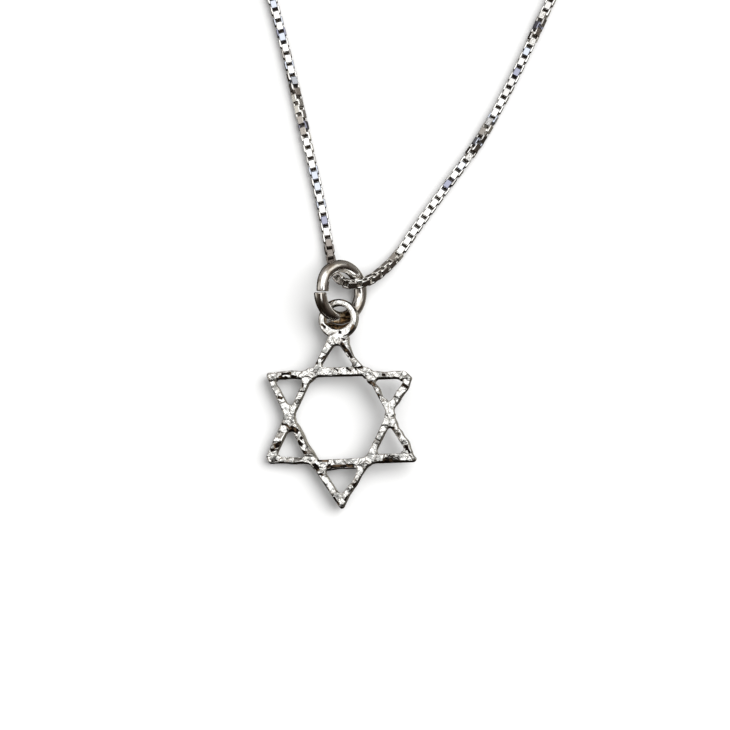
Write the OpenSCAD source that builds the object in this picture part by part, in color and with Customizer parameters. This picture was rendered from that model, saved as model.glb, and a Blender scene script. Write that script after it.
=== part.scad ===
// Star of David pendant on its box chain, laid out flat as one whole necklace.
// Millimetres. Everything lies on the plane z = 0, and +Y runs from the pendant to the clasp.

/* [Star] */
// Width of the star over its side tips
star_width = 14.8; // [13:0.1:17]
// Height of the star, from its bottom tip to its blunt top
star_height = 18; // [16:0.1:20]
// Thickness of the cast bars
star_thickness = 1.15; // [0.9:0.05:1.3]
// Width of a bar of the star
bar_width = 0.8; // [0.65:0.05:0.95]
// Rounding of the star's tips and of the corners of its openings
corner_round = 0.25; // [0.1:0.05:0.3]
// Rounding of the webs where two bars meet outside
web_round = 0.45; // [0.2:0.05:0.7]
// How far the star leans sideways as it lies, its right side up, in degrees
star_roll = 6.5; // [4:0.5:8]
// How far the star's top is lifted by the jump ring, in degrees
star_pitch = 2.2; // [1.8:0.1:2.6]

/* [Eye] */
// Inner diameter of the eye soldered on the star
eye_inner_d = 2.7; // [2.6:0.05:3]
// Width of the eye's band, seen from the front
eye_band = 0.65; // [0.5:0.05:0.75]
// Thickness of the eye from front to back
eye_thickness = 1.05; // [0.8:0.05:1.1]
// Turn of the eye against the star's face, in degrees
eye_twist = 9.5; // [7:0.5:12]

/* [Jump ring] */
// Wire diameter of the jump ring
jump_wire_d = 1.25; // [1.1:0.05:1.3]
// Outer diameter of the jump ring
jump_outer_d = 6.4; // [6.3:0.05:6.6]
// How steeply the jump ring stands, its left side up, in degrees
jump_tilt = 39; // [37:1:41]
// Width of the unsoldered seam
seam_gap = 0.12; // [0.05:0.01:0.3]

/* [Chain] */
// Width of the box chain across its flat sides
chain_width = 1; // [0.9:0.05:1]
// Clearance between the chain's ends and the rings that they hang on
chain_end_gap = 0.1; // [0.05:0.01:0.3]

/* [Clasp] */
// Outer diameter of the clasp ring
clasp_outer_d = 6; // [5.5:0.1:6.5]
// Wire diameter of the clasp ring
clasp_wire_d = 1.1; // [0.9:0.05:1.2]
// Outer diameter of the small eye soldered to the clasp
clasp_eye_outer_d = 2.1; // [2:0.05:2.3]
// Outer diameter of the two end rings
end_ring_outer_d = 2.8; // [2.7:0.05:3]
// Wire diameter of the end rings and of the clasp's eye
fine_wire_d = 0.5; // [0.4:0.05:0.55]
// Lean of the end rings, in degrees from lying flat
end_ring_lean = 60; // [56:1:66]

/* [Hidden] */
$fn = 64;

// The picture is taken from the front at this height above the table, in degrees
view_height = 78;

// Clasp ring, its eye and the end rings, in a row along X behind the neck. The end rings stand
// on the table, and the clasp leans between them with one side down on it.
clasp_x = 1;
clasp_y = 94.5;
clasp_r = (clasp_outer_d - clasp_wire_d) / 2;
clasp_eye_r = (clasp_eye_outer_d - fine_wire_d) / 2;
clasp_eye_offset = 0.15;
clasp_eye_x = clasp_r + clasp_eye_r + clasp_eye_offset;
end_ring_r = (end_ring_outer_d - fine_wire_d) / 2;
end_ring_z = end_ring_r * sin(end_ring_lean) + fine_wire_d / 2;
clasp_lean = asin((end_ring_z - clasp_wire_d / 2) / clasp_r);
end_ring_play = 0.1;
left_ring_x = clasp_x - clasp_eye_x - clasp_eye_r + fine_wire_d + end_ring_play - end_ring_r;
right_ring_x = clasp_x + clasp_r - clasp_wire_d / 2 - fine_wire_d / 2 - end_ring_play + end_ring_r;
left_end_x = left_ring_x - end_ring_r - fine_wire_d / 2 - chain_end_gap;
right_end_x = right_ring_x + end_ring_r + fine_wire_d / 2 + chain_end_gap;

// Route of the chain from the clasp's eye round to the clasp ring: x, y and height of its middle.
// It comes down the left side, goes under and through the jump ring and up the right side.
floor_z = 0.5;
chain_turn = [-5.95, -74.85, 2.05];
chain_route = [
    [left_end_x, clasp_y, end_ring_z], [-10, clasp_y, floor_z], [-28.5, 92.5, floor_z],
    [-46.5, 84.5, floor_z], [-57, 71.5, floor_z], [-59, 57, floor_z], [-54.5, 41, floor_z],
    [-46, 24, floor_z], [-36, 6, floor_z], [-26.5, -12, floor_z], [-18.6, -30, floor_z],
    [-13.8, -45.4, floor_z], [-10.7, -58.4, floor_z], [-8.3, -69.8, floor_z], [-8, -71.7, 0.7],
    [-7.8, -72.8, 1], [-7.4, -73.8, 1.4], [-6.8, -74.5, 1.8], chain_turn,
    [-5.05, -74.8, 2.2], [-4.1, -74.4, 2], [-2.9, -73.4, 1.4], [-1.4, -71.7, 0.7],
    [0.4, -69, floor_z], [3, -65.3, floor_z], [7.3, -59.1, floor_z], [10.6, -52.9, floor_z],
    [13.9, -45.8, floor_z], [21.2, -30, floor_z], [30, -12, floor_z], [39, 6, floor_z],
    [48, 24, floor_z], [55.5, 41, floor_z], [59, 57, floor_z], [57, 71.5, floor_z],
    [46.5, 84.5, floor_z], [28.5, 92.5, floor_z], [10, clasp_y, floor_z],
    [right_end_x, clasp_y, end_ring_z]];
tube_sides = 8;
tube_step = 7.5;
tube_r = chain_width / 2 / cos(180 / tube_sides);

// Middle line of the star's outer bars: share of half the width, share of half the height
neck_share = 0.88;
outline_shares = [
    [-0.11, neck_share], [-0.32, 0.515], [-0.93, 0.475], [-0.69, 0.03], [-0.94, -0.425],
    [-0.925, -0.465], [-0.36, -0.475], [0.01, -0.945], [0.12, -0.76], [0.37, -0.465],
    [0.945, -0.46], [0.645, 0.025], [0.9, 0.42], [0.85, 0.46], [0.43, 0.465],
    [0.255, 0.545], [0.125, 0.67], [0.06, 0.825], [0.06, neck_share]];

// Middle lines of the bars round each opening, in the same shares
top_shares = [[-0.05, 0.95], [-0.38, 0.52], [0.3, 0.515]];
upper_left_shares = [[-0.99, 0.495], [-0.67, -0.01], [-0.4, 0.495]];
upper_right_shares = [[0.345, 0.47], [0.665, 0.05], [0.97, 0.475]];
lower_left_shares = [[-0.68, 0.02], [-0.98, -0.485], [-0.375, -0.48]];
lower_right_shares = [[0.655, 0], [0.37, -0.46], [1, -0.46]];
bottom_shares = [[-0.325, -0.54], [0.005, -0.975], [0.36, -0.51]];
middle_shares = [
    [-0.41, 0.515], [-0.705, 0.01], [-0.355, -0.515], [0.38, -0.5],
    [0.695, 0.035], [0.415, 0.475], [0.3, 0.515]];
opening_shares = [
    top_shares, upper_left_shares, upper_right_shares, lower_left_shares,
    lower_right_shares, bottom_shares, middle_shares];

// Middle of the eye in the star's own plane: its band sits on the end of the star's neck
eye_x = -0.15;
eye_y = neck_share * star_height / 2 + bar_width / 2 + eye_inner_d / 2 + eye_band / 2;
eye_corner_r = 0.2;

// The jump ring hangs on the chain's turn and stands on the table with its right side
jump_r = (jump_outer_d - jump_wire_d) / 2;
jump_from_turn = [-1.05, -0.81];
jump_x = chain_turn.x + jump_from_turn.x;
jump_y = chain_turn.y + jump_from_turn.y;
jump_z = jump_wire_d / 2
    + jump_r * sqrt(pow(cos(view_height), 2) + pow(sin(view_height) * sin(jump_tilt), 2));

// Middle of the eye, where the jump ring's wire runs through it with some play
hang_play_share = 0.26;
hang_play = hang_play_share * (eye_inner_d - jump_wire_d) / 2;
hang_x = jump_x - hang_play;
hang_y = jump_y - (jump_r + hang_play) * sin(view_height);

// The star lies below the eye, and one of its tips touches the table
star_x = hang_x - eye_x * cos(star_roll) + eye_y * sin(star_pitch) * sin(star_roll);
star_y = hang_y - eye_y * cos(star_pitch);
resting_tip_share = [-0.98, -0.5];
star_z = star_thickness / 2 * cos(star_roll) * cos(star_pitch)
    - resting_tip_share[0] * star_width / 2 * sin(star_roll)
    - resting_tip_share[1] * star_height / 2 * sin(star_pitch) * cos(star_roll);

function unit(v) = v / norm(v);

// Direction of the route at point i: level where the chain lies on the table
function blended_direction(i) =
    let (before = chain_route[i] - chain_route[i - 1], after = chain_route[i + 1] - chain_route[i])
    unit(before) * norm(after) + unit(after) * norm(before);
function route_direction(i) =
    i == 0 ? unit(chain_route[1] - chain_route[0])
    : i == len(chain_route) - 1 ? unit(chain_route[i] - chain_route[i - 1])
    : let (d = blended_direction(i)) unit([d.x, d.y, chain_route[i].z > floor_z ? d.z : 0]);

// Smooth curve between route points i and i + 1, at t from 0 to 1
function route_point(i, t) =
    let (a = chain_route[i], b = chain_route[i + 1], span = norm(b - a))
    a * (2 * pow(t, 3) - 3 * pow(t, 2) + 1) + b * (3 * pow(t, 2) - 2 * pow(t, 3))
    + route_direction(i) * span * (pow(t, 3) - 2 * pow(t, 2) + t)
    + route_direction(i + 1) * span * (pow(t, 3) - pow(t, 2));
tube_line = concat(
    [for (i = [0 : len(chain_route) - 2])
        let (steps = ceil(norm(chain_route[i + 1] - chain_route[i]) / tube_step))
        for (k = [0 : steps - 1]) route_point(i, k / steps)],
    [chain_route[len(chain_route) - 1]]);

// Corners of the tube round point i of its line, with a flat side down
function line_direction(i) =
    unit(tube_line[min(i + 1, len(tube_line) - 1)] - tube_line[max(i - 1, 0)]);
function tube_ring(i) =
    let (along = line_direction(i), side = unit(cross([0, 0, 1], along)), up = cross(along, side))
    [for (k = [0 : tube_sides - 1])
        let (angle = 360 * (k + 0.5) / tube_sides)
        tube_line[i] + tube_r * (cos(angle) * side + sin(angle) * up)];

module ring(middle_r, wire_d) {
    rotate_extrude()
        translate([middle_r, 0])
            circle(d = wire_d);
}

module rounded_band(width, thickness, corner_r) {
    square([width - 2 * corner_r, thickness], center = true);
    square([width, thickness - 2 * corner_r], center = true);
    for (x = [-1, 1], y = [-1, 1])
        translate([x * (width / 2 - corner_r), y * (thickness / 2 - corner_r)])
            circle(r = corner_r);
}

module star_shape(shares) {
    polygon([for (share = shares) [share[0] * star_width / 2, share[1] * star_height / 2]]);
}

module star_face() {
    difference() {
        offset(r = -web_round)
            offset(r = web_round + corner_round)
                offset(delta = bar_width / 2 - corner_round)
                    star_shape(outline_shares);
        for (shares = opening_shares)
            offset(r = corner_round)
                offset(delta = -bar_width / 2 - corner_round)
                    star_shape(shares);
    }
}

module eye() {
    translate([eye_x, eye_y, 0])
        rotate([0, -eye_twist, 0])
            rotate_extrude()
                translate([eye_inner_d / 2 + eye_band / 2, 0])
                    rounded_band(eye_band, eye_thickness, eye_corner_r);
}

module star() {
    color("silver")
        translate([star_x, star_y, star_z])
            rotate([star_pitch, -star_roll, 0]) {
                linear_extrude(star_thickness, center = true, $fn = 32)
                    star_face();
                eye();
            }
}

module jump_ring() {
    color("darkgray")
        translate([jump_x, jump_y, jump_z])
            rotate([90 - view_height, 0, 0])
                rotate([0, jump_tilt, 0])
                    difference() {
                        ring(jump_r, jump_wire_d);
                        translate([-jump_r, 0, 0])
                            cube([2 * jump_wire_d, seam_gap, 2 * jump_wire_d], center = true);
                    }
}

module chain() {
    rings = len(tube_line);
    color("lightgray")
        polyhedron(
            points = [for (i = [0 : rings - 1]) each tube_ring(i)],
            faces = concat(
                [[for (k = [0 : tube_sides - 1]) k]],
                [for (i = [0 : rings - 2], k = [0 : tube_sides - 1])
                    let (a = i * tube_sides + k, b = i * tube_sides + (k + 1) % tube_sides)
                    each [[a, a + tube_sides, b], [b, a + tube_sides, b + tube_sides]]],
                [[for (k = [tube_sides - 1 : -1 : 0]) (rings - 1) * tube_sides + k]]));
}

module clasp() {
    color("silver")
        translate([clasp_x, clasp_y, end_ring_z])
            rotate([-clasp_lean, 0, 0]) {
                ring(clasp_r, clasp_wire_d);
                translate([-clasp_eye_x, 0, 0])
                    ring(clasp_eye_r, fine_wire_d);
            }
}

module end_ring(x) {
    color("darkgray")
        translate([x, clasp_y, end_ring_z])
            rotate([end_ring_lean, 0, 0])
                ring(end_ring_r, fine_wire_d);
}

module end_ring_left() { end_ring(left_ring_x); }
module end_ring_right() { end_ring(right_ring_x); }

star();
jump_ring();
chain();
clasp();
end_ring_left();
end_ring_right();
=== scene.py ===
import math
import random

import bmesh
import bpy
import numpy as np
from mathutils import Matrix, Vector


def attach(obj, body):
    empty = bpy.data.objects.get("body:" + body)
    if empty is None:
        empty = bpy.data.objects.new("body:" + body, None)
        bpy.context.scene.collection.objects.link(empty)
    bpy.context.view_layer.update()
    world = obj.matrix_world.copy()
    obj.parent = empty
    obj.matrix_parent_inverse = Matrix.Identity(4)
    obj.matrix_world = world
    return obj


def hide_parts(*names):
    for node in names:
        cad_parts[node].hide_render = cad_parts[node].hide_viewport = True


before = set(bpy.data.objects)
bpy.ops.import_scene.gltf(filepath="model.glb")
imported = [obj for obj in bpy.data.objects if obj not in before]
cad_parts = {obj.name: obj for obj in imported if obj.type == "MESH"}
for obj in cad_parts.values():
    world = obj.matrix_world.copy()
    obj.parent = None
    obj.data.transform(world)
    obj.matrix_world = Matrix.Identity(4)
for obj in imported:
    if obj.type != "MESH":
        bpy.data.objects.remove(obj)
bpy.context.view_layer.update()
mm = 0.001
toMetres = Matrix.Scale(mm, 4)
fullTurn = 2 * math.pi


# camera: the photograph's view; its height above the table in degrees, the rest in mm
view = {
    "height": 78,
    "target": (-4.55, -82.63, 0),
    "width": 73,
    "lens": 200,
    "sensor": 36,
    "nearest": 10,
    "farthest": 50000,
}


def makeCamera():
    camera = bpy.data.objects.new("camera", bpy.data.cameras.new("camera"))
    bpy.context.scene.collection.objects.link(camera)
    camera.data.lens = view["lens"]
    camera.data.sensor_width = view["sensor"]
    camera.data.clip_start = view["nearest"] * mm
    camera.data.clip_end = view["farthest"] * mm
    tilt = math.radians(view["height"])
    back = Vector((0, -math.cos(tilt), math.sin(tilt)))
    away = view["width"] * view["lens"] / view["sensor"]
    camera.location = (Vector(view["target"]) + back * away) * mm
    camera.rotation_mode = "QUATERNION"
    camera.rotation_quaternion = (-back).to_track_quat("-Z", "Y")
    bpy.context.scene.camera = camera


makeCamera()
print("camera set")


# shader maths: a socket that takes Python's operators
class Value:
    def __init__(self, tree, socket):
        self.tree = tree
        self.socket = socket

    def maths(self, operation, first, second):
        return self.tree.node("ShaderNodeMath", {"operation": operation}, {0: first, 1: second})

    def __add__(self, other):
        return self.maths("ADD", self, other)

    def __radd__(self, other):
        return self.maths("ADD", other, self)

    def __sub__(self, other):
        return self.maths("SUBTRACT", self, other)

    def __rsub__(self, other):
        return self.maths("SUBTRACT", other, self)

    def __mul__(self, other):
        return self.maths("MULTIPLY", self, other)

    def __rmul__(self, other):
        return self.maths("MULTIPLY", other, self)


# every other node comes from Shading's method node: type, settings, values or links, output
class Shading:
    def __init__(self, tree):
        self.tree = tree
        self.tree.nodes.clear()

    def node(self, kind, settings=None, values=None, output=0):
        made = self.tree.nodes.new(kind)
        for name, setting in (settings or {}).items():
            if name == "stops":
                self.setStops(made.color_ramp, setting)
            else:
                setattr(made, name, setting)
        for name, value in (values or {}).items():
            self.feed(made.inputs[name], value)
        return Value(self, made.outputs[output]) if made.outputs else None

    def feed(self, socket, value):
        if isinstance(value, Value):
            self.tree.links.new(value.socket, socket)
        elif socket.type == "RGBA" and len(value) == 3:
            socket.default_value = (*value, 1)
        else:
            socket.default_value = value

    def setStops(self, ramp, stops):
        while len(ramp.elements) < len(stops):
            ramp.elements.new(1)
        for element, (position, colour) in zip(ramp.elements, stops):
            element.position = position
            element.color = (*colour, 1)

    def between(self, value, low, high, bottom=0.0, top=1.0):
        return self.node(
            "ShaderNodeMapRange",
            {"interpolation_type": "SMOOTHSTEP"},
            {"Value": value, "From Min": low, "From Max": high, "To Min": bottom, "To Max": top},
        )

    # a Mix node's colours are its inputs 6 and 7, and its colour result is output 2
    def blend(self, share, first, second):
        return self.node(
            "ShaderNodeMix",
            {"data_type": "RGBA"},
            {"Factor": share, 6: first, 7: second},
            output=2,
        )

    def facing(self, look, way):
        return self.node(
            "ShaderNodeVectorMath", {"operation": "DOT_PRODUCT"}, {0: look, 1: way}, output=1
        )

    def grain(self, place, size, detail):
        return self.node(
            "ShaderNodeTexNoise", None, {"Vector": place, "Scale": 1 / size, "Detail": detail}
        )

    # output 2 is the attribute as a number, output 1 as a vector
    def attribute(self, name, output=2):
        return self.node("ShaderNodeAttribute", {"attribute_name": name}, output=output)

    def bump(self, height, distance, strength):
        return self.node(
            "ShaderNodeBump", None, {"Strength": strength, "Distance": distance, "Height": height}
        )

    def background(self, colour):
        return self.node("ShaderNodeBackground", None, {"Color": colour, "Strength": 1.0})


# world: what the metal reflects, a white softbox above in a dim room
room = {
    "softbox": (1.5, 1.5, 1.48),
    "softboxMiddle": (-0.03, 0.06, 0.998),
    "softboxReach": 36,  # degrees, as all reaches here
    "window": (0.95, 0.92, 0.86),
    "windowMiddle": (0.74, 0.36, 0.57),
    "windowReach": 20,
    "lowWindow": (0.82, 0.79, 0.72),
    "lowWindowMiddle": (-1.0, -0.03, 0.05),
    "lowWindowReach": 11,
    "lens": (0.012, 0.009, 0.007),
    "lensMiddle": (0.0, -0.208, 0.978),
    "lensReach": 6.5,
    "spotEdge": 0.12,  # softness as a share of the reach
    "wallTop": 2.2,
    "wallRise": (0.1, 0.5),  # the walls get brighter over this range of z
    "watcher": (0.06, 0.05, 0.042),  # whoever stands at the camera
    "watcherY": (-0.05, -0.14),
    "watcherX": (0.12, 0.04),
    "watcherZ": (0.7, 0.8),
    "tableEdge": (-0.5, -0.3),
    "tableNear": (0.02, 0.015, 0.011),
    "tableGrey": (0.17, 0.155, 0.13),
    "greyX": (0.12, 0.3),
    "tableRight": (0.60, 0.57, 0.50),
    "rightXY": (0.42, 0.6),
    "rightZ": (-0.86, -0.78),
    "domeTop": (1.42, 1.42, 1.41),  # the light that falls on matt things
    "domeSide": (0.16, 0.155, 0.15),
    "domeEdge": (0.55, 0.85),
    "backdrop": (1, 1, 1),
    "cloudSize": 0.25,  # clouds make the room's edges uneven by the shares below
    "cloudDetail": 3.0,
    "wallDrift": 0.05,
    "riseDrift": 0.2,
    "edgeDrift": 0.1,
    "watcherDrift": 0.3,
}

# colours round the walls by bearing in degrees: 0 right, 90 behind, -90 the camera's side
horizon = [
    (-180, (0.26, 0.24, 0.22)),
    (-160, (0.06, 0.05, 0.04)),
    (-140, (0.010, 0.008, 0.006)),
    (-60, (0.008, 0.006, 0.005)),
    (-30, (0.02, 0.015, 0.012)),
    (-8, (0.06, 0.05, 0.042)),
    (18, (0.18, 0.165, 0.15)),
    (45, (0.19, 0.175, 0.155)),
    (90, (0.15, 0.132, 0.118)),
    (140, (0.21, 0.195, 0.18)),
    (180, (0.26, 0.24, 0.22)),
]


# a round patch of the room, such as a window, in front of what lies behind it
def roundPatch(shade, look, name, behind, drift):
    reach = math.radians(room[name + "Reach"])
    edge = math.cos(reach)
    soft = room["spotEdge"] * math.sin(reach)
    towards = shade.facing(look, room[name + "Middle"]) + room["edgeDrift"] * drift
    return shade.blend(shade.between(towards, edge - soft, edge + soft), behind, room[name])


def makeWorld():
    world = bpy.data.worlds.new("room")
    bpy.context.scene.world = world
    world.use_nodes = True
    shade = Shading(world.node_tree)
    look = shade.node("ShaderNodeTexCoord")
    x, y, z = (shade.node("ShaderNodeSeparateXYZ", None, {0: look}, axis) for axis in range(3))
    drift = shade.grain(look, room["cloudSize"], room["cloudDetail"]) - 0.5
    bearing = y.maths("ARCTAN2", y, x) * (1 / fullTurn) + 0.5 + room["wallDrift"] * drift
    stops = [((angle + 180) / 360, colour) for angle, colour in horizon]
    walls = shade.node("ShaderNodeValToRGB", {"stops": stops}, {"Fac": bearing})
    rise = shade.between(z + room["riseDrift"] * drift, *room["wallRise"], 1.0, room["wallTop"])
    walls = shade.node("ShaderNodeVectorMath", {"operation": "SCALE"}, {0: walls, "Scale": rise})
    toRight = shade.between(x + y, *room["rightXY"])
    straightDown = shade.between(z, *room["rightZ"], 1.0, 0.0)
    table = shade.blend(shade.between(x, *room["greyX"]), room["tableNear"], room["tableGrey"])
    table = shade.blend(toRight * straightDown, table, room["tableRight"])
    aboveTable = shade.between(z + room["edgeDrift"] * drift, *room["tableEdge"])
    seen = shade.blend(aboveTable, table, walls)
    for name in ("lowWindow", "window", "softbox"):
        seen = roundPatch(shade, look, name, seen, drift)
    watching = shade.between(y + room["watcherDrift"] * drift, *room["watcherY"])
    watching = watching * shade.between(x, *room["watcherX"])
    watching = watching * shade.between(z, *room["watcherZ"])
    seen = shade.blend(watching, seen, room["watcher"])
    seen = roundPatch(shade, look, "lens", seen, 0.0)
    dome = shade.blend(shade.between(z, *room["domeEdge"]), room["domeSide"], room["domeTop"])
    reflected = shade.background(seen)
    filled = shade.background(dome)
    plain = shade.background(room["backdrop"])
    direct = shade.node("ShaderNodeLightPath", output=0)  # 1 for rays from the camera
    matte = shade.node("ShaderNodeLightPath", output=2)  # 1 for rays from matt surfaces
    both = shade.node("ShaderNodeMixShader", None, {0: matte, 1: reflected, 2: filled})
    both = shade.node("ShaderNodeMixShader", None, {0: direct, 1: both, 2: plain})
    shade.node("ShaderNodeOutputWorld", None, {"Surface": both})


# a wide soft key light from the right, a little behind; its spread in degrees
keyLight = {"from": (0.56, 0.2, 0.8), "strength": 3.15, "spread": 60}


def makeKeyLight():
    lamp = bpy.data.lights.new("key", "SUN")
    lamp.energy = keyLight["strength"]
    lamp.angle = math.radians(keyLight["spread"])
    light = bpy.data.objects.new("key", lamp)
    bpy.context.scene.collection.objects.link(light)
    light.rotation_mode = "QUATERNION"
    light.rotation_quaternion = Vector(keyLight["from"]).to_track_quat("Z", "Y")
    light.visible_glossy = False


# floor: plain white card, its half side in metres
floor = {"size": 30, "colour": (0.7, 0.7, 0.7)}


def makeFloor():
    bm = bmesh.new()
    bmesh.ops.create_grid(bm, x_segments=1, y_segments=1, size=floor["size"])
    mesh = bpy.data.meshes.new("table_top")
    bm.to_mesh(mesh)
    bm.free()
    table = bpy.data.objects.new("table_top", mesh)
    bpy.context.scene.collection.objects.link(table)
    material = bpy.data.materials.new("whiteCard")
    material.use_nodes = True
    shade = Shading(material.node_tree)
    card = shade.node(
        "ShaderNodeBsdfPrincipled",
        None,
        {"Base Color": floor["colour"], "Roughness": 1.0, "Specular IOR Level": 0.0},
    )
    shade.node("ShaderNodeOutputMaterial", None, {"Surface": card})
    mesh.materials.append(material)
    table.visible_glossy = False


makeWorld()
makeKeyLight()
makeFloor()
bpy.context.scene.view_settings.view_transform = "Standard"
print("studio lit")


# pieces: a mesh in millimetres becomes a finished object in metres
def finishPiece(bm, name, node, material, sharp=None):
    bmesh.ops.transform(bm, matrix=toMetres, verts=bm.verts)
    mesh = bpy.data.meshes.new(name)
    bm.to_mesh(mesh)
    bm.free()
    mesh.shade_smooth()
    if sharp:
        mesh.set_sharp_from_angle(angle=math.radians(sharp))
    piece = bpy.data.objects.new(name, mesh)
    bpy.context.scene.collection.objects.link(piece)
    mesh.materials.append(material)
    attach(piece, "root")
    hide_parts(node)
    print(name, len(mesh.polygons), "faces")
    return piece


def metalMaterial(name, finish):
    material = bpy.data.materials.new(name)
    material.use_nodes = True
    shade = Shading(material.node_tree)
    place = shade.node("ShaderNodeTexCoord", output=3)  # Object coordinates
    surface = {"Metallic": 1.0, **finish(shade, place)}
    metal = shade.node("ShaderNodeBsdfPrincipled", None, surface)
    shade.node("ShaderNodeOutputMaterial", None, {"Surface": metal})
    return material


# star: cast bars with hammered faces and an eye on its top; lengths in mm, angles in degrees
star = {
    "middle": (-6.996, -88.351, 1.5635),
    "roll": 6.5,
    "pitch": 2.2,
    "halfWidth": 7.4,
    "halfHeight": 9.0,
    "thickness": 1.15,
    "barWidth": 0.8,
    "grain": 0.06,  # size of the mesh's faces
    "merge": 0.001,  # points closer than this are joined
    "roundBy": 0.5,  # strength of a smoothing pass
    "roundPasses": 4,
    "wallPasses": 5,
    "softenBy": 0.2,  # strength of the one pass over the hammered faces
    "flat": (0.25, 0.75),  # z of the normal: a wall up to the first, flat from the second
    "wall": 0.4,  # what is less flat than this is smoothed as a wall
    "frontSeed": 7,
    "rearSeed": 11,
    "facetLength": (0.22, 0.8),
    "firstSkew": 0.7,  # the borders between facets slant by this slope at most
    "skew": 0.8,
    "seam": 0.03,
    "step": 0.065,
    "overrun": 0.9,  # the rows of facets go this far past the bars' ends
    "lightSlope": (-0.02, -0.02),
    "slopeSpread": 0.14,
    "darkSlope": (-0.113, 0.174),  # mirrors the dark lens: facets avoid this slope, marks have it
    "darkReach": 0.085,
    "crown": 0.035,
    "crownLimit": 1.3,
    "blendReach": 0.05,
    "markSink": 0.03,
    "markEdge": (0.9, 1.15),  # shares of a mark's half length and half width
    "web": 0.95,
    "wideWeb": 0.6,
    "sharpTurn": 1.7,  # radians; wider angles get the wide web
    "widestTurn": 2.8,  # radians; wider angles get none
    "webBelow": 0.06,
    "webFade": (-0.4, -0.02),
    "webLimit": 0.5,
    "webRounds": 4,
    "webLeastSlope": 0.15,
    "draft": 0.12,  # how far the walls that face the draft's way lean out below
    "draftWay": (0.89, 0.455),
    "draftFacing": (0.55, 0.85),
    "wideDraft": 1.5,  # more of it near one point of the left side
    "wideDraftMiddle": (-3.6, -2.3),
    "wideDraftReach": (2.6, 1.6),
    "eyeMiddle": (-0.15, 9.995),
    "eyeRadius": 1.675,
    "eyeThickness": 1.05,
    "eyeTwist": 9.5,
    "eyeBand": (0.2, 0.32),
    "eyeFill": 0.08,
    "eyeToBars": (0.2, 0.5),  # the bars take over this far past the eye's radius
    "solder": 0.26,
    "solderBelow": (0.2, 1.2),
    "solderWithin": (1.5, 1.9),
    "solderSpread": 2.7,
    "litWay": (0.8, 0.6),  # walls that face this way, towards the key light, get less painted shade
    "litFacing": (0.2, 0.6),
    "litShare": 0.85,
    # how dark the painted dark reflections in the marks and on the eye are
    "darkShare": 0.9,
    "goldWithin": (1.45, 1.7),  # painted warm shade and gold glints inside the eye
    "goldBelow": (-1.4, 0.4),
    "eyeWallShadeCut": 0.5,
    "goldShadeLevel": 2,
    # where the painted dark outline round the upper eye lies
    "rim": (1.76, 1.84),
    "rimAbove": (0.0, 1.0),
    "eyeBumps": 0.55,
    "barBumps": 0.45,
    "skinSize": 0.24,
    "skinDetail": 4.0,
    "blotchSize": 0.55,
    "blotchDetail": 3.0,
    "bump": 0.085,
    "ragged": 0.35,
    "dullFrom": (0.2, 0.7),  # shares of painted shading, blotches or skin over which a colour takes over
    "goldFrom": (1.1, 1.7),
    "greyFrom": (0.47, 0.62),
    "brownFrom": (0.48, 0.66),
    "brightFrom": (0.38, 0.56),
    # colours: clean silver and its grey blotches; black and brown for painted shade and dark
    # reflections; dark gold and gold for the painted shade and glints in the eye
    "clean": (0.955, 0.955, 0.94),
    "grey": (0.40, 0.40, 0.39),
    "black": (0.014, 0.010, 0.008),
    "brown": (0.17, 0.115, 0.07),
    "darkGold": (0.07, 0.048, 0.03),
    "gold": (0.82, 0.64, 0.42),
    "polish": 0.07,
    "dullness": 0.28,
}

# where the bars meet, as shares of the half width and half height
corners = {
    "top": (-0.05, 0.93),
    "upperLeft": (-0.96, 0.485),
    "upperRight": (0.93, 0.465),
    "lowerLeft": (-0.96, -0.465),
    "lowerRight": (0.98, -0.46),
    "bottom": (0.005, -0.96),
    "left": (-0.68, 0.01),
    "right": (0.66, 0.03),
    "crossUpLeft": (-0.39, 0.51),
    "crossUpRight": (0.36, 0.49),
    "crossLowLeft": (-0.36, -0.505),
    "crossLowRight": (0.37, -0.48),
}
bars = [
    ("top", "crossUpLeft"),
    ("top", "crossUpRight"),
    ("upperLeft", "crossUpLeft"),
    ("upperLeft", "left"),
    ("crossUpLeft", "left"),
    ("crossUpLeft", "crossUpRight"),
    ("crossUpRight", "upperRight"),
    ("upperRight", "right"),
    ("crossUpRight", "right"),
    ("left", "lowerLeft"),
    ("left", "crossLowLeft"),
    ("lowerLeft", "crossLowLeft"),
    ("right", "crossLowRight"),
    ("right", "lowerRight"),
    ("crossLowRight", "lowerRight"),
    ("crossLowLeft", "crossLowRight"),
    ("crossLowLeft", "bottom"),
    ("crossLowRight", "bottom"),
]

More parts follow.
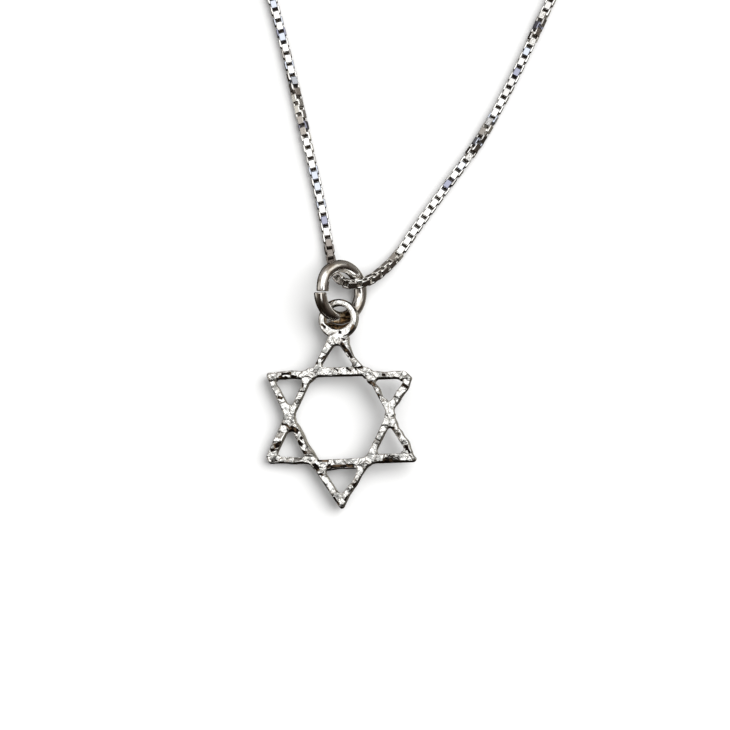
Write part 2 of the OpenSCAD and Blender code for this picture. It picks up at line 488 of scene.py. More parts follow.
# the deepest hammer marks: middle x and y, length, width (mm) and direction (degrees)
hammerMarks = [
    (-5.35, 4.5, 1.0, 0.25, 5),
    (-5.9, 4.2, 0.25, 0.3, 80),
    (-5.4, 4.15, 0.25, 0.3, 60),
    (-4.6, 4.2, 0.6, 0.3, -10),
    (-2.35, 5.6, 0.35, 0.4, 0),
    (-1.65, 6.0, 0.6, 0.15, 50),
    (-0.35, 4.8, 0.5, 0.15, -40),
    (0.9, 4.8, 0.6, 0.2, -35),
    (1.95, 4.9, 0.8, 0.3, 20),
    (0.7, 6.75, 1.8, 0.3, -56),
    (3.05, 3.5, 0.5, 0.3, -20),
    (3.45, 3.25, 0.35, 0.35, 0),
    (4.4, 4.2, 0.35, 0.3, 0),
    (6.4, 3.0, 0.6, 0.3, -35),
    (3.85, 2.0, 0.5, 0.3, -70),
    (-5.95, 2.1, 0.5, 0.3, -20),
    (-3.7, 3.3, 0.5, 0.18, 80),
    (-5.45, -0.65, 0.75, 0.2, -20),
    (-4.6, -1.1, 1.0, 0.5, -30),
    (-6.2, -2.65, 0.8, 0.5, 20),
    (-6.7, -3.15, 0.5, 0.3, 15),
    (-3.9, -2.5, 0.7, 0.4, -35),
    (-3.5, -3.4, 0.5, 0.35, -20),
    (-3.8, -2.0, 0.35, 0.3, -35),
    (-1.7, -4.35, 1.1, 0.22, 0),
    (0.25, -4.9, 2.3, 0.3, 2),
    (-2.4, -4.95, 0.8, 0.35, -60),
    (-1.1, -4.9, 0.5, 0.3, 30),
    (-1.9, -5.7, 0.5, 0.2, -10),
    (-1.45, -6.95, 1.0, 0.3, -62),
    (-0.5, -8.4, 0.9, 0.45, -60),
    (0.36, 7.88, 0.45, 0.18, -35),
    (1.35, -6.8, 0.5, 0.4, 30),
    (0.65, -8.15, 0.55, 0.3, 50),
    (4.75, -4.4, 0.9, 0.35, 0),
    (5.15, -1.1, 0.7, 0.25, -45),
    (6.8, -3.35, 0.9, 0.2, -65),
    (6.55, -3.2, 0.6, 0.15, -65),
]

# painted dark reflections on the eye, as streaks, in the same way
eyeMarks = [
    (-1.63, 9.21, 0.75, 0.2, -54),
    (1.32, 8.75, 1.0, 0.38, 62),
    (0.06, 8.38, 0.3, 0.2, -10),
]

# the hand-cut outline's bends: middle x and y, reach in x and y, shift in x and y (mm)
outlineBends = [
    (4.57, 4.55, 1.0, 0.5, 0.0, -0.1),
    (6.5, 3.0, 1.0, 1.2, 0.2, 0.0),
    (5.6, 0.95, 0.6, 0.8, -0.17, 0.0),
    (5.84, -1.06, 0.5, 0.6, -0.13, 0.0),
    (6.78, -2.5, 0.8, 0.8, 0.16, 0.05),
    (7.4, -3.75, 0.5, 0.5, -0.12, 0.0),
    (6.45, -3.78, 0.4, 0.5, -0.2, 0.0),
    (1.35, -6.61, 1.0, 1.6, 0.17, 0.0),
    (-6.0, -4.4, 2.8, 0.9, 0.0, 0.26),
    (-3.8, 4.85, 1.1, 0.5, 0.0, -0.16),
    (-6.24, 3.78, 0.65, 0.65, -0.28, 0.16),
    (-4.9, 3.81, 1.1, 0.5, 0.0, 0.18),
    (4.35, 2.42, 0.5, 1.0, -0.18, -0.05),
    (3.7, 3.5, 0.45, 0.45, -0.2, 0.0),
    (2.81, 3.66, 0.6, 0.6, -0.2, -0.2),
    (-4.96, -1.48, 0.5, 0.5, 0.0, 0.2),
    (-3.69, -4.77, 1.3, 0.7, 0.0, 0.2),
    (-2.86, 4.04, 0.5, 0.5, 0.15, -0.12),
    (-4.63, 0.18, 0.3, 0.7, 0.1, 0.0),
    (-3.56, -2.7, 0.9, 1.3, -0.14, -0.04),
    (4.63, 0.08, 0.3, 0.7, -0.1, 0.0),
    (0.14, -5.35, 1.4, 0.45, 0.0, 0.15),
]


def starMatrix():
    roll = Matrix.Rotation(math.radians(-star["roll"]), 4, "Y")
    pitch = Matrix.Rotation(math.radians(star["pitch"]), 4, "X")
    return Matrix.Translation(star["middle"]) @ roll @ pitch


# 0 up to low, 1 from high, and softly between; low may be the larger one
def softStep(values, low, high):
    share = np.clip((values - low) / (high - low), 0, 1)
    return share * share * (3 - 2 * share)


def smooth(bm, verts, factor, passes):
    for _ in range(passes):
        bmesh.ops.smooth_vert(
            bm, verts=verts, factor=factor, use_axis_x=True, use_axis_y=True, use_axis_z=True
        )


# the CAD star in its own frame and in mm, as an even fine mesh with rounded edges
def castBlank():
    bm = bmesh.new()
    bm.from_mesh(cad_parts["star"].data)
    toOwnFrame = starMatrix().inverted() @ Matrix.Scale(1 / mm, 4)
    bmesh.ops.transform(bm, matrix=toOwnFrame, verts=bm.verts)
    bmesh.ops.remove_doubles(bm, verts=bm.verts, dist=star["merge"])
    mesh = bpy.data.meshes.new("castBlank")
    bm.to_mesh(mesh)
    bm.free()
    blank = bpy.data.objects.new("castBlank", mesh)
    bpy.context.scene.collection.objects.link(blank)
    remesh = blank.modifiers.new("grain", "REMESH")
    remesh.mode = "VOXEL"
    remesh.voxel_size = star["grain"]
    bpy.context.view_layer.update()
    solid = blank.evaluated_get(bpy.context.evaluated_depsgraph_get()).to_mesh()
    bm = bmesh.new()
    bm.from_mesh(solid)
    bpy.data.objects.remove(blank)
    bpy.data.meshes.remove(mesh)
    smooth(bm, bm.verts, star["roundBy"], star["roundPasses"])
    bm.normal_update()
    return bm


# what is known of each point of the blank: its place, its facing and how it lies to the eye
class Surface:
    def __init__(self, verts):
        self.x, self.y, self.z = np.array([v.co for v in verts]).T
        self.facingX, self.facingY, facingZ = np.array([v.normal for v in verts]).T
        self.inFront = self.z > 0
        self.flat = softStep(np.abs(facingZ), *star["flat"])
        self.rightOfEye = self.x - star["eyeMiddle"][0]
        self.aboveEye = self.y - star["eyeMiddle"][1]
        self.fromEye = np.hypot(self.rightOfEye, self.aboveEye)
        near, far = star["eyeToBars"]
        self.onBars = softStep(self.fromEye, star["eyeRadius"] + near, star["eyeRadius"] + far)

    def facing(self, way, low, high):
        return softStep(self.facingX * way[0] + self.facingY * way[1], low, high)


def randomSlope(rng):
    darkX, darkY = star["darkSlope"]
    while True:
        slopeX = rng.gauss(star["lightSlope"][0], star["slopeSpread"])
        slopeY = rng.gauss(star["lightSlope"][1], star["slopeSpread"])
        if math.hypot(slopeX - darkX, slopeY - darkY) > star["darkReach"]:
            return slopeX, slopeY


# a bar's face is a row of hammered facets, each a small tilted plane across the bar
def facetHeights(along, across, length, direction, rng):
    height = np.zeros(len(along))
    total = np.zeros(len(along))
    leastTotal = 0.01
    seam = star["seam"]
    start = -star["overrun"]
    skew = rng.uniform(-star["firstSkew"], star["firstSkew"])
    while start < length + star["overrun"]:
        end = start + rng.uniform(*star["facetLength"])
        nextSkew = rng.uniform(-star["skew"], star["skew"])
        slopeX, slopeY = randomSlope(rng)
        alongSlope = slopeX * direction[0] + slopeY * direction[1]
        acrossSlope = -slopeX * direction[1] + slopeY * direction[0]
        level = rng.uniform(-1, 1) * star["step"]
        middle = (start + end) / 2
        inside = softStep(along - start - skew * across, -seam, seam)
        inside *= 1 - softStep(along - end - nextSkew * across, -seam, seam)
        height += inside * (level + alongSlope * (along - middle) + acrossSlope * across)
        total += inside
        start = end
        skew = nextSkew
    return height / np.maximum(total, leastTotal)


def cornerPlace(name):
    return np.array((corners[name][0] * star["halfWidth"], corners[name][1] * star["halfHeight"]))


# heights of a whole hammered face: near a bar its own facets count, and its middle is crowned
def hammeredFace(x, y, seed):
    rng = random.Random(seed)
    almostNothing = 1e-30
    height = np.zeros(len(x))
    total = np.full(len(x), almostNothing)
    for first, second in bars:
        corner = cornerPlace(first)
        span = cornerPlace(second) - corner
        length = np.hypot(*span)
        direction = span / length
        along = (x - corner[0]) * direction[0] + (y - corner[1]) * direction[1]
        across = -(x - corner[0]) * direction[1] + (y - corner[1]) * direction[0]
        past = np.maximum(np.maximum(-along, along - length), 0)
        distance = np.hypot(across, past)
        facets = facetHeights(along, across, length, direction, rng)
        fromMiddle = np.minimum(distance / (star["barWidth"] / 2), star["crownLimit"])
        weight = np.exp(-distance / star["blendReach"])
        height += weight * (facets - star["crown"] * fromMiddle**2)
        total += weight
    return height / total


# share of the marks at each point, and the height of their tilted floors
def markShare(marks, x, y, mirrored):
    share = np.zeros(len(x))
    depth = np.zeros(len(x))
    slopeX, slopeY = star["darkSlope"]
    for markX, markY, length, width, angle in marks:
        turn = math.radians(angle)
        dx = x - (-markX if mirrored else markX)
        dy = y - markY
        along = dx * math.cos(turn) + dy * math.sin(turn)
        across = -dx * math.sin(turn) + dy * math.cos(turn)
        reach = np.maximum(np.abs(along) / (length / 2), np.abs(across) / (width / 2))
        inside = 1 - softStep(reach, *star["markEdge"])
        depth = np.where(inside > share, slopeX * dx + slopeY * dy - star["markSink"], depth)
        share = np.maximum(share, inside)
    return share, depth


def hammeredSide(surface, seed, mirrored):
    marks, depth = markShare(hammerMarks, surface.x, surface.y, mirrored)
    marks = marks * surface.onBars
    height = hammeredFace(surface.x, surface.y, seed)
    return height + marks * (depth - height), marks


# the eye's band is made plane, with a slight twist
def bandLift(surface):
    twist = math.tan(math.radians(star["eyeTwist"]))
    band = 1 - softStep(np.abs(surface.fromEye - star["eyeRadius"]), *star["eyeBand"])
    top = star["eyeThickness"] / 2 + twist * surface.rightOfEye * np.sign(surface.z)
    missing = (top - np.abs(surface.z)) * band * surface.flat * (1 - surface.onBars)
    return np.sign(surface.z) * np.clip(missing, 0, star["eyeFill"])


# solder fills the foot of the eye, most of all low on its inner wall
def solderShift(surface):
    foot = softStep(-surface.aboveEye, *star["solderBelow"])
    foot = foot * (1 - softStep(surface.fromEye, *star["solderWithin"])) * (1 - surface.onBars)
    low = np.clip(0.5 - surface.z / star["eyeThickness"], 0, 1)
    return star["solder"] * foot * (1 + star["solderSpread"] * (1 - surface.flat) * low)


# walls that face the draft's way lean out below, so that they show in a view from above
def draftShift(surface):
    wayX, wayY = star["draftWay"]
    wideX, wideY = star["wideDraftMiddle"]
    facing = surface.facing((wayX, wayY), *star["draftFacing"])
    fromWide = np.hypot(surface.x - wideX, surface.y - wideY)
    wider = 1 + star["wideDraft"] * softStep(fromWide, *star["wideDraftReach"])
    low = 0.5 - surface.z / star["thickness"]
    draft = star["draft"] * wider * facing * surface.onBars * low
    return wayX * draft, wayY * draft


# the angles between bars that meet at a corner: corner, the two directions, size of the web
def barAngles():
    angles = []
    for name in corners:
        here = cornerPlace(name)
        ways = [cornerPlace(b if a == name else a) - here for a, b in bars if name in (a, b)]
        ways = [way / np.hypot(*way) for way in ways]
        ways.sort(key=lambda way: math.atan2(way[1], way[0]))
        for first, second in zip(ways, ways[1:] + ways[:1]):
            turn = math.atan2(first[0] * second[1] - first[1] * second[0], first @ second)
            if 0 < turn < star["widestTurn"]:
                web = star["web"] if turn < star["sharpTurn"] else star["wideWeb"]
                angles.append((here, first, second, web))
    return angles


# the metal fills the angles between bars with round webs: points near the angle move outwards
# until a softened distance to the two bars is what the sharp one was
def webShift(x, y):
    moveX = np.zeros(len(x))
    moveY = np.zeros(len(x))
    half = star["barWidth"] / 2
    for here, first, second, web in barAngles():
        normalA = np.array((-first[1], first[0]))
        normalB = np.array((second[1], -second[0]))
        sideA = (x - here[0]) * normalA[0] + (y - here[1]) * normalA[1]
        sideB = (x - here[0]) * normalB[0] + (y - here[1]) * normalB[1]
        depth = np.minimum(sideA, sideB) - half
        target = np.minimum(depth, -star["webBelow"])
        between = (sideA > 0) & (sideB > 0) & (np.abs(sideA - sideB) < web)
        weight = softStep(depth, *star["webFade"]) * (between & (depth < star["webLimit"]))
        shiftX = np.zeros(len(x))
        shiftY = np.zeros(len(x))
        for _ in range(star["webRounds"]):
            a = sideA + shiftX * normalA[0] + shiftY * normalA[1] - half
            b = sideB + shiftX * normalB[0] + shiftY * normalB[1] - half
            lean = np.clip(0.5 + 0.5 * (b - a) / web, 0, 1)
            softened = a * lean + b * (1 - lean) - web * lean * (1 - lean)
            slopeX = lean * normalA[0] + (1 - lean) * normalB[0]
            slopeY = lean * normalA[1] + (1 - lean) * normalB[1]
            steepness = np.maximum(slopeX**2 + slopeY**2, star["webLeastSlope"])
            push = np.maximum(target - softened, 0) / steepness
            shiftX += push * slopeX
            shiftY += push * slopeY
        moveX += shiftX * weight
        moveY += shiftY * weight
    return moveX, moveY


def outlineShift(x, y):
    moveX = np.zeros(len(x))
    moveY = np.zeros(len(x))
    for middleX, middleY, reachX, reachY, shiftX, shiftY in outlineBends:
        share = 1 - softStep(np.hypot((x - middleX) / reachX, (y - middleY) / reachY), 0, 1)
        moveX += share * shiftX
        moveY += share * shiftY
    return moveX, moveY


# painted shading: up to 1 is dark, as the painted shade on walls that face away from the key
# light, the painted dark reflections in the hammer marks and the eye's painted dark rim and
# streaks; beyond 1 it turns to warm gold, the painted shade and gold glints low inside the eye
def starPaintedShading(surface, marks):
    # walls that face the key light keep less painted shade; the other walls are painted dark
    clean = surface.facing(star["litWay"], *star["litFacing"])
    walls = (1 - surface.flat) * (1 - star["litShare"] * clean)
    # the hammer marks get painted dark reflections
    tarnish = np.maximum(walls, star["darkShare"] * marks)
    # inside the eye the walls' painted shade is cut, and low down it turns to painted warm shade
    # with gold glints
    inEye = (1 - surface.flat) * (1 - softStep(surface.fromEye, *star["goldWithin"]))
    gold = star["goldShadeLevel"] * inEye * softStep(-surface.aboveEye, *star["goldBelow"])
    tarnish = np.maximum(tarnish * (1 - star["eyeWallShadeCut"] * inEye), gold)
    # a painted dark outline round the upper eye, and painted dark reflections as streaks on its
    # face
    rim = softStep(surface.fromEye, *star["rim"]) * softStep(surface.aboveEye, *star["rimAbove"])
    streaks = markShare(eyeMarks, surface.x, surface.y, False)[0] * surface.flat * surface.inFront
    onEye = star["darkShare"] * np.maximum(rim, streaks) * (1 - surface.onBars)
    return np.maximum(tarnish, onEye)


def buildStar(material):
    bm = castBlank()
    surface = Surface(bm.verts)
    front, frontMarks = hammeredSide(surface, star["frontSeed"], False)
    rear, rearMarks = hammeredSide(surface, star["rearSeed"], True)
    marks = np.where(surface.inFront, frontMarks, rearMarks) * surface.flat
    lift = np.where(surface.inFront, front, -rear) * surface.flat * surface.onBars
    lift += bandLift(surface)
    webX, webY = webShift(surface.x, surface.y)
    cutX, cutY = outlineShift(surface.x, surface.y)
    draftX, draftY = draftShift(surface)
    sideways = draftX + (webX + cutX) * surface.onBars
    endways = draftY + solderShift(surface) + (webY + cutY) * surface.onBars
    moves = np.stack([sideways, endways, lift], axis=1)
    # each point keeps its painted shading and how strongly it is hammered
    tarnish = bm.verts.layers.float.new("tarnish")
    hammered = bm.verts.layers.float.new("hammered")
    paintedLevels = starPaintedShading(surface, marks)
    for vertex, move, dull, share in zip(bm.verts, moves, paintedLevels, surface.onBars):
        vertex.co += Vector(move)
        vertex[tarnish] = dull
        vertex[hammered] = star["eyeBumps"] + star["barBumps"] * share
    smooth(bm, bm.verts, star["softenBy"], 1)
    walls = [vertex for vertex, share in zip(bm.verts, surface.flat) if share < star["wall"]]
    smooth(bm, walls, star["roundBy"], star["wallPasses"])
    bmesh.ops.recalc_face_normals(bm, faces=bm.faces)
    bmesh.ops.transform(bm, matrix=starMatrix(), verts=bm.verts)
    return finishPiece(bm, "star_casting", "star", material)


def castSilver(shade, place):
    tarnish = shade.attribute("tarnish")
    hammered = shade.attribute("hammered")
    skin = shade.grain(place, star["skinSize"] * mm, star["skinDetail"])
    blotches = shade.grain(place, star["blotchSize"] * mm, star["blotchDetail"])
    # dull takes the colour from clean silver to the painted dark colours, beyond 1 to painted gold
    # glints, and makes it rougher
    dull = shade.between(tarnish + star["ragged"] * (skin - 0.5), *star["dullFrom"])
    dark = shade.blend(shade.between(blotches, *star["brownFrom"]), star["black"], star["brown"])
    grey = shade.between(blotches, *star["greyFrom"]) * hammered
    clean = shade.blend(grey, star["clean"], star["grey"])
    gold = shade.blend(shade.between(skin, *star["brightFrom"]), star["darkGold"], star["gold"])
    dark = shade.blend(shade.between(tarnish, *star["goldFrom"]), dark, gold)
    return {
        "Base Color": shade.blend(dull, clean, dark),
        "Roughness": star["polish"] + star["dullness"] * dull,
        "Normal": shade.bump(skin * hammered, star["bump"] * mm, 1.0),
    }


# jump ring: a round wire bent to a ring, its cut ends not quite meeting; in mm and degrees
jumpRing = {
    "middle": (-7.0, -75.66, 2.298),
    "wire": 1.25,
    "outer": 6.4,
    "pitch": 12,
    "tilt": 39,
    "gap": 0.13,
    "offset": 0.32,  # one end stands this much inwards
    "offsetReach": 0.9,  # radians
    "rim": 0.09,
    "sharp": 50,
    # painted shade, brown with gold glints, where the wire lies inside the star's eye
    "eyeShadeMiddle": (-6.35, -78.35),
    "eyeShadeReach": 1.0,
    "steps": 144,
    "sides": 28,
    "layAlong": 0.25,  # the drawn wire's streaks run along it
    "layAround": 0.6,
    "streakSize": 0.16,
    "streakBump": 0.02,
    "streakStrength": 0.5,
    "cloudSize": 1.3,
    "detail": 3.0,
    "ragged": 0.7,  # streaks in the edge of the toned parts
    "raggedEyeShade": 0.9,  # clouds in the edge of the painted shade in the eye
    "dullFrom": (0.42, 0.68),  # shares over which a colour takes over
    "goldFrom": (0.45, 0.62),
    "eyeShadeFrom": (0.1, 0.6),
    "clean": (0.95, 0.94, 0.925),
    "toned": (0.60, 0.54, 0.47),
    # colours of the painted shade in the eye and of its painted gold glints
    "darkGold": (0.09, 0.055, 0.03),
    "gold": (0.95, 0.76, 0.5),
    "polish": 0.07,
    "cloudDullness": 0.1,
    "eyeShadeDullness": 0.3,
}


def ringMatrix():
    pitch = Matrix.Rotation(math.radians(jumpRing["pitch"]), 4, "X")
    tilt = Matrix.Rotation(math.radians(jumpRing["tilt"]), 4, "Y")
    return Matrix.Translation(jumpRing["middle"]) @ pitch @ tilt


def spinWire(bm, middleRadius, wire, sides, steps, sweep=fullTurn, start=0):
    made = bmesh.ops.create_circle(bm, cap_ends=False, radius=wire / 2, segments=sides)
    upright = Matrix.Rotation(math.radians(90), 4, "X")
    outwards = Matrix.Translation((middleRadius, 0, 0))
    turned = Matrix.Rotation(start, 4, "Z")
    bmesh.ops.transform(bm, matrix=turned @ outwards @ upright, verts=made["verts"])
    edges = list({e for v in made["verts"] for e in v.link_edges})
    bmesh.ops.spin(
        bm,
        geom=made["verts"] + edges,
        cent=(0, 0, 0),
        axis=(0, 0, 1),
        angle=sweep,
        steps=steps,
        use_merge=sweep == fullTurn,
    )


def buildJumpRing(material):
    radius = (jumpRing["outer"] - jumpRing["wire"]) / 2
    half = jumpRing["gap"] / radius / 2
    bm = bmesh.new()
    spinWire(
        bm, radius, jumpRing["wire"], jumpRing["sides"], jumpRing["steps"],
        fullTurn - 2 * half, math.pi + half,
    )
    bmesh.ops.holes_fill(bm, edges=[e for e in bm.edges if e.is_boundary])
    rims = [e for f in bm.faces if len(f.verts) > 4 for e in f.edges]
    bmesh.ops.bevel(
        bm, geom=rims, offset=jumpRing["rim"], segments=2, profile=0.5, affect="EDGES", material=-1
    )
    lay = bm.verts.layers.float_vector.new("lay")
    for vertex in bm.verts:
        outwards = Vector((vertex.co.x, vertex.co.y, 0))
        turn = math.atan2(vertex.co.y, vertex.co.x)
        around = math.atan2(vertex.co.z, math.hypot(vertex.co.x, vertex.co.y) - radius)
        streakAlong = turn * radius * jumpRing["layAlong"]
        vertex[lay] = Vector((streakAlong, abs(around) * jumpRing["layAround"], 0))
        share = max(0, 1 - (math.pi - turn) / jumpRing["offsetReach"])
        ease = share * share * (3 - 2 * share)
        vertex.co -= outwards.normalized() * jumpRing["offset"] * ease
    bmesh.ops.recalc_face_normals(bm, faces=bm.faces)
    bmesh.ops.transform(bm, matrix=ringMatrix(), verts=bm.verts)
    # painted shade where the wire passes through the star's eye
    grime = bm.verts.layers.float.new("grime")
    for vertex in bm.verts:
        away = (vertex.co.xy - Vector(jumpRing["eyeShadeMiddle"])).length / jumpRing["eyeShadeReach"]
        vertex[grime] = max(0, 1 - away**2)
    return finishPiece(
        bm, "jump_ring_wire", "jump_ring", material, jumpRing["sharp"]
    )


def wireSilver(shade, place):
    streaks = shade.grain(shade.attribute("lay", 1), jumpRing["streakSize"], jumpRing["detail"])
    clouds = shade.grain(place, jumpRing["cloudSize"] * mm, jumpRing["detail"])
    uneven = clouds + jumpRing["ragged"] * (streaks - 0.5)
    dull = shade.between(uneven, *jumpRing["dullFrom"])
    colour = shade.blend(dull, jumpRing["clean"], jumpRing["toned"])
    golden = shade.between(streaks, *jumpRing["goldFrom"])
    gold = shade.blend(golden, jumpRing["darkGold"], jumpRing["gold"])
    # the painted shade in the eye: brown with painted gold glints along the streaks, and rougher
    eyeShadeRagged = shade.attribute("grime") + jumpRing["raggedEyeShade"] * (clouds - 0.5)
    inEyeShade = shade.between(eyeShadeRagged, *jumpRing["eyeShadeFrom"])
    roughness = jumpRing["polish"] + jumpRing["cloudDullness"] * clouds
    return {
        "Base Color": shade.blend(inEyeShade, colour, gold),
        "Roughness": roughness + jumpRing["eyeShadeDullness"] * inEyeShade,
        "Normal": shade.bump(streaks, jumpRing["streakBump"] * mm, jumpRing["streakStrength"]),
    }


# box chain: real links threaded through each other along the chain's route; lengths in mm
chain = {
    "pitch": 0.596,
    "length": 1.12,
    "width": 1.13,
    "strip": 0.64,
    "thickness": 0.2,
    "corner": 0.09,
    "edge": 0.055,
    "edgeTurn": 1,  # edges that turn by more radians than this are bevelled
    "floor": 0.5,  # height of the route where the chain lies on the table
    "leftEnd": (-4.9, 94.5, 1.246),
    "turn": (-5.95, -74.85, 2.05),
    "rightEnd": (4.85, 94.5, 1.246),
    "routeSteps": 40,
    "seed": 5,
    "wobble": 0.05,  # radians that a link is rolled at random
    "sharp": 35,
    "tonedLinks": [(-6.2, -3, 0.02), (-3, 14, 0.5)],  # from and to (mm from the turn), tone; the first gives the links under the jump ring a dark brown painted shade, the second keeps the links near the ring plain
    "bright": (0.95, 0.945, 0.93),
    "tints": [  # range of tone over which a tint takes over, tint; the bluish tints are painted reflections, the grey and dark brown ones a random tone, and the dark brown one also gives the links under the jump ring their painted shade
        ((0.72, 0.76), (0.57, 0.61, 0.70)),
        ((0.94, 0.96), (0.33, 0.34, 0.44)),
        ((0.12, 0.08), (0.66, 0.65, 0.64)),
        ((0.05, 0.03), (0.30, 0.27, 0.25)),
    ],
    "specks": (0.42, 0.41, 0.40),
    "specksFrom": (0.6, 0.72),
    "skinSize": 0.13,
    "skinDetail": 3.0,
    "bump": 0.03,
    "bumpStrength": 0.6,
    "polish": 0.06,
    "dullness": 0.06,
}
chainRoute = [
    chain["leftEnd"],
    (-10, 94.5, 0.5),
    (-28.5, 92.5, 0.5),
    (-46.5, 84.5, 0.5),
    (-57, 71.5, 0.5),
    (-58.95, 57, 0.5),
    (-54.5, 41, 0.5),
    (-46, 24, 0.5),
    (-36, 6, 0.5),
    (-26.5, -12, 0.5),
    (-18.6, -30, 0.5),
    (-13.8, -45.4, 0.5),
    (-10.7, -58.4, 0.5),
    (-8.3, -69.8, 0.5),
    (-8, -71.7, 0.7),
    (-7.8, -72.8, 1),
    (-7.4, -73.8, 1.4),
    (-6.8, -74.5, 1.8),
    chain["turn"],
    (-5.05, -74.8, 2.2),
    (-4.1, -74.4, 2),
    (-2.9, -73.4, 1.4),
    (-1.4, -71.7, 0.7),
    (0.4, -69, 0.5),
    (3, -65.3, 0.5),
    (7.3, -59.1, 0.5),
    (10.6, -52.9, 0.5),
    (13.9, -45.8, 0.5),
    (21.2, -30, 0.5),
    (30, -12, 0.5),
    (39, 6, 0.5),
    (48, 24, 0.5),
    (55.5, 41, 0.5),
    (58.95, 57, 0.5),
    (57, 71.5, 0.5),
    (46.5, 84.5, 0.5),
    (28.5, 92.5, 0.5),
    (10, 94.5, 0.5),
    chain["rightEnd"],
]

# how far the chain is rolled on its own axis: distance from the jump ring's turn (mm), degrees
chainRoll = [
    (-212, -150), (-205, -180), (-150, -90), (-120, -90), (-75, 0), (-26, 0), (-23.5, -12),
    (-22, -30), (-20.3, -44), (-18.5, -60), (-16.5, -76), (-14.5, -85), (-12, -90), (-5, -92),
    (-2.5, -80), (0, -62), (2, -46), (4.8, -44), (6.6, 0), (17.8, 0), (19, 22), (20.5, 48),
    (22.5, 72), (24.5, 90), (31.5, 90), (33, 115), (34, 135), (35.2, 160), (36.5, 180),
    (90, 180), (120, 270), (190, 270), (205, 360), (212, 390),
]


# direction of the route at one of its points: level where the chain lies on the table
def routeDirection(points, i):
    if i == 0:
        return (points[1] - points[0]).normalized()
    if i == len(points) - 1:
        return (points[i] - points[i - 1]).normalized()
    before = points[i] - points[i - 1]
    after = points[i + 1] - points[i]
    blended = before.normalized() * after.length + after.normalized() * before.length
    if points[i].z <= chain["floor"]:
        blended.z = 0
    return blended.normalized()


# the smooth line through the route's points
def routeLine():
    points = [Vector(place) for place in chainRoute]
    ways = [routeDirection(points, i) for i in range(len(points))]
    line = []
    for a, b, wayA, wayB in zip(points, points[1:], ways, ways[1:]):
        span = (b - a).length
        for k in range(chain["routeSteps"]):
            t = k / chain["routeSteps"]
            line.append(
                a * (2 * t**3 - 3 * t**2 + 1)
                + b * (3 * t**2 - 2 * t**3)
                + wayA * span * (t**3 - 2 * t**2 + t)
                + wayB * span * (t**3 - t**2)
            )
    line.append(points[-1])
    return line


# one link: a strip bent round to a small rectangle, its edges bevelled
def linkMesh():
    bm = bmesh.new()
    made = bmesh.ops.create_grid(bm, x_segments=1, y_segments=1, size=0.5)
    size = (chain["length"] - chain["thickness"], chain["width"] - chain["thickness"], 1)
    bmesh.ops.scale(bm, vec=size, verts=made["verts"])
    bmesh.ops.bevel(
        bm, geom=list(bm.verts), offset=chain["corner"], segments=1, profile=0.5,
        affect="VERTICES", material=-1,
    )
    bmesh.ops.delete(bm, geom=list(bm.faces), context="FACES_ONLY")
    grown = bmesh.ops.extrude_edge_only(bm, edges=list(bm.edges))
    raised = [g for g in grown["geom"] if isinstance(g, bmesh.types.BMVert)]
    bmesh.ops.translate(bm, vec=(0, 0, chain["strip"]), verts=raised)
    bmesh.ops.translate(bm, vec=(0, 0, -chain["strip"] / 2), verts=bm.verts)
    bmesh.ops.recalc_face_normals(bm, faces=bm.faces)
    bmesh.ops.solidify(bm, geom=list(bm.faces), thickness=chain["thickness"])
    bm.normal_update()
    rims = [e for e in bm.edges if e.calc_face_angle(0) > chain["edgeTurn"]]
    bmesh.ops.bevel(
        bm, geom=rims, offset=chain["edge"], segments=1, profile=0.5, affect="EDGES", material=-1
    )
    bm.verts.layers.float.new("tone")
    link = bpy.data.meshes.new("link")
    bm.to_mesh(link)
    bm.free()
    return link


# a link's place on the route: rolled there, and high enough to clear the table
def linkMatrix(middle, along, roll, turned):
    side = Vector((0, 0, 1)).cross(along).normalized()
    up = along.cross(side)
    across = side * math.cos(turned) + up * math.sin(turned)
    basis = Matrix((along, across, along.cross(across))).transposed().to_4x4()
    level = abs(math.cos(roll))
    steep = abs(math.sin(roll))
    rest = max(level, steep) * chain["width"] / 2 + min(level, steep) * chain["strip"] / 2
    centre = Vector(middle) + Vector((0, 0, rest - chain["floor"]))
    return Matrix.Translation(centre) @ basis


def buildChain(material):
    line = routeLine()
    reach = [0.0]
    for a, b in zip(line, line[1:]):
        reach.append(reach[-1] + (b - a).length)
    turn = min(range(len(line)), key=lambda i: (line[i] - Vector(chain["turn"])).length)
    last = round(reach[-1] / chain["pitch"])
    stations = np.linspace(0, reach[-1], last + 1)
    fromTurn = stations - reach[turn]
    points = np.array(line)
    middles = np.stack([np.interp(stations, reach, points[:, k]) for k in range(3)], axis=1)
    rollAt, rollBy = zip(*chainRoll)
    rolls = np.radians(np.interp(fromTurn, rollAt, rollBy))
    rng = random.Random(chain["seed"])
    link = linkMesh()
    bm = bmesh.new()
    for i, roll in enumerate(rolls):
        along = Vector(middles[min(i + 1, last)]) - Vector(middles[max(i - 1, 0)])
        turned = roll + rng.gauss(0, chain["wobble"]) + (math.pi / 2 if i % 2 else 0)
        tone = rng.random()
        for start, end, toneThere in chain["tonedLinks"]:
            if start < fromTurn[i] <= end:
                tone = toneThere
        threaded = link.copy()
        threaded.transform(linkMatrix(middles[i], along.normalized(), roll, turned))
        threaded.attributes["tone"].data.foreach_set("value", [tone] * len(link.vertices))
        bm.from_mesh(threaded)
        bpy.data.meshes.remove(threaded)
    bpy.data.meshes.remove(link)
    return finishPiece(bm, "box_chain", "chain", material, chain["sharp"])


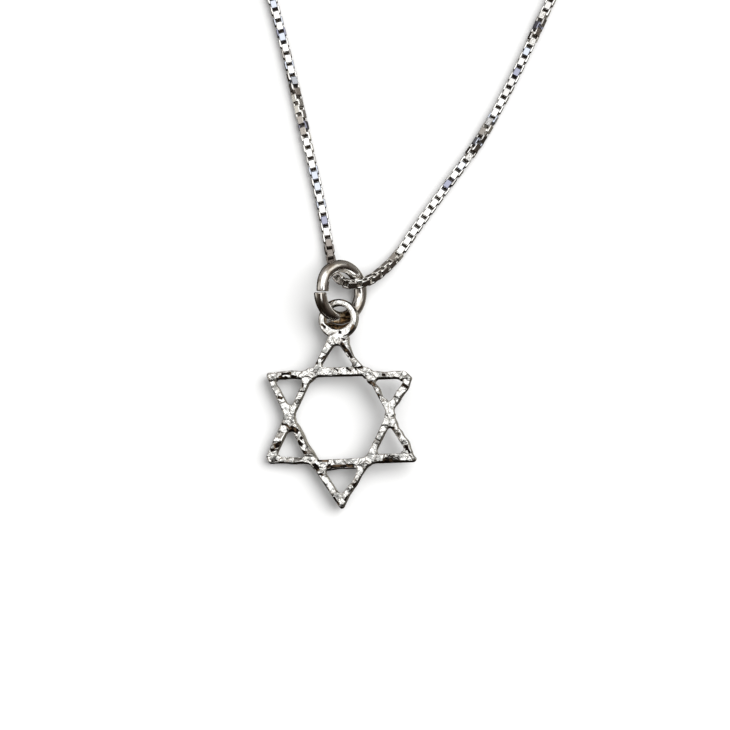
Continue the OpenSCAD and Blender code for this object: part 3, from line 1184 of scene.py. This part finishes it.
def chainSilver(shade, place):
    tone = shade.attribute("tone")
    skin = shade.grain(place, chain["skinSize"] * mm, chain["skinDetail"])
    colour = chain["bright"]
    for taken, tint in chain["tints"]:
        colour = shade.blend(shade.between(tone, *taken), colour, tint)
    colour = shade.blend(shade.between(skin, *chain["specksFrom"]), colour, chain["specks"])
    return {
        "Base Color": colour,
        "Roughness": chain["polish"] + chain["dullness"] * tone,
        "Normal": shade.bump(skin, chain["bump"] * mm, chain["bumpStrength"]),
    }


# clasp, behind the neck: plain round wire with a small eye, soldered shut; in mm and degrees
clasp = {
    "middle": (1, 94.5, 1.246),
    "lean": 16.5,
    "outer": 6,
    "wire": 1.1,
    "sides": 28,
    "steps": 120,
    "eyeX": -3.4,
    "eyeOuter": 2.1,
    "fineWire": 0.5,
    "fineSides": 16,
    "eyeSteps": 48,
    "cloudSize": 1.1,
    "cloudDetail": 3.0,
    "dullFrom": (0.45, 0.7),
    "clean": (0.95, 0.94, 0.925),
    "toned": (0.74, 0.71, 0.67),
    "bump": 0.02,
    "bumpStrength": 0.4,
    "polish": 0.07,
    "dullness": 0.1,
}


def fittingSilver(shade, place):
    clouds = shade.grain(place, clasp["cloudSize"] * mm, clasp["cloudDetail"])
    dull = shade.between(clouds, *clasp["dullFrom"])
    return {
        "Base Color": shade.blend(dull, clasp["clean"], clasp["toned"]),
        "Roughness": clasp["polish"] + clasp["dullness"] * clouds,
        "Normal": shade.bump(clouds, clasp["bump"] * mm, clasp["bumpStrength"]),
    }


def leanedTo(middle, degrees):
    return Matrix.Translation(middle) @ Matrix.Rotation(math.radians(degrees), 4, "X")


def buildClasp(material):
    bm = bmesh.new()
    radius = (clasp["eyeOuter"] - clasp["fineWire"]) / 2
    spinWire(bm, radius, clasp["fineWire"], clasp["fineSides"], clasp["eyeSteps"])
    bmesh.ops.translate(bm, vec=(clasp["eyeX"], 0, 0), verts=bm.verts)
    radius = (clasp["outer"] - clasp["wire"]) / 2
    spinWire(bm, radius, clasp["wire"], clasp["sides"], clasp["steps"])
    bmesh.ops.recalc_face_normals(bm, faces=bm.faces)
    place = leanedTo(clasp["middle"], -clasp["lean"])
    bmesh.ops.transform(bm, matrix=place, verts=bm.verts)
    return finishPiece(bm, "clasp_ring", "clasp", material)


# end rings: they join the chain's ends to the clasp, in the clasp's fine wire; in mm and degrees
endRing = {
    "left": -3.75,
    "right": 3.7,
    "y": 94.5,
    "z": 1.246,
    "outer": 2.8,
    "lean": 60,
    "steps": 64,
}


def buildEndRing(side, material):
    bm = bmesh.new()
    radius = (endRing["outer"] - clasp["fineWire"]) / 2
    spinWire(bm, radius, clasp["fineWire"], clasp["fineSides"], endRing["steps"])
    bmesh.ops.recalc_face_normals(bm, faces=bm.faces)
    place = leanedTo((endRing[side], endRing["y"], endRing["z"]), endRing["lean"])
    bmesh.ops.transform(bm, matrix=place, verts=bm.verts)
    return finishPiece(bm, "end_wire_" + side, "end_ring_" + side, material)


buildStar(metalMaterial("castSilver", castSilver))
buildJumpRing(metalMaterial("wireSilver", wireSilver))
buildChain(metalMaterial("chainSilver", chainSilver))
fittings = metalMaterial("fittingSilver", fittingSilver)
buildClasp(fittings)
buildEndRing("left", fittings)
buildEndRing("right", fittings)
print("necklace built")
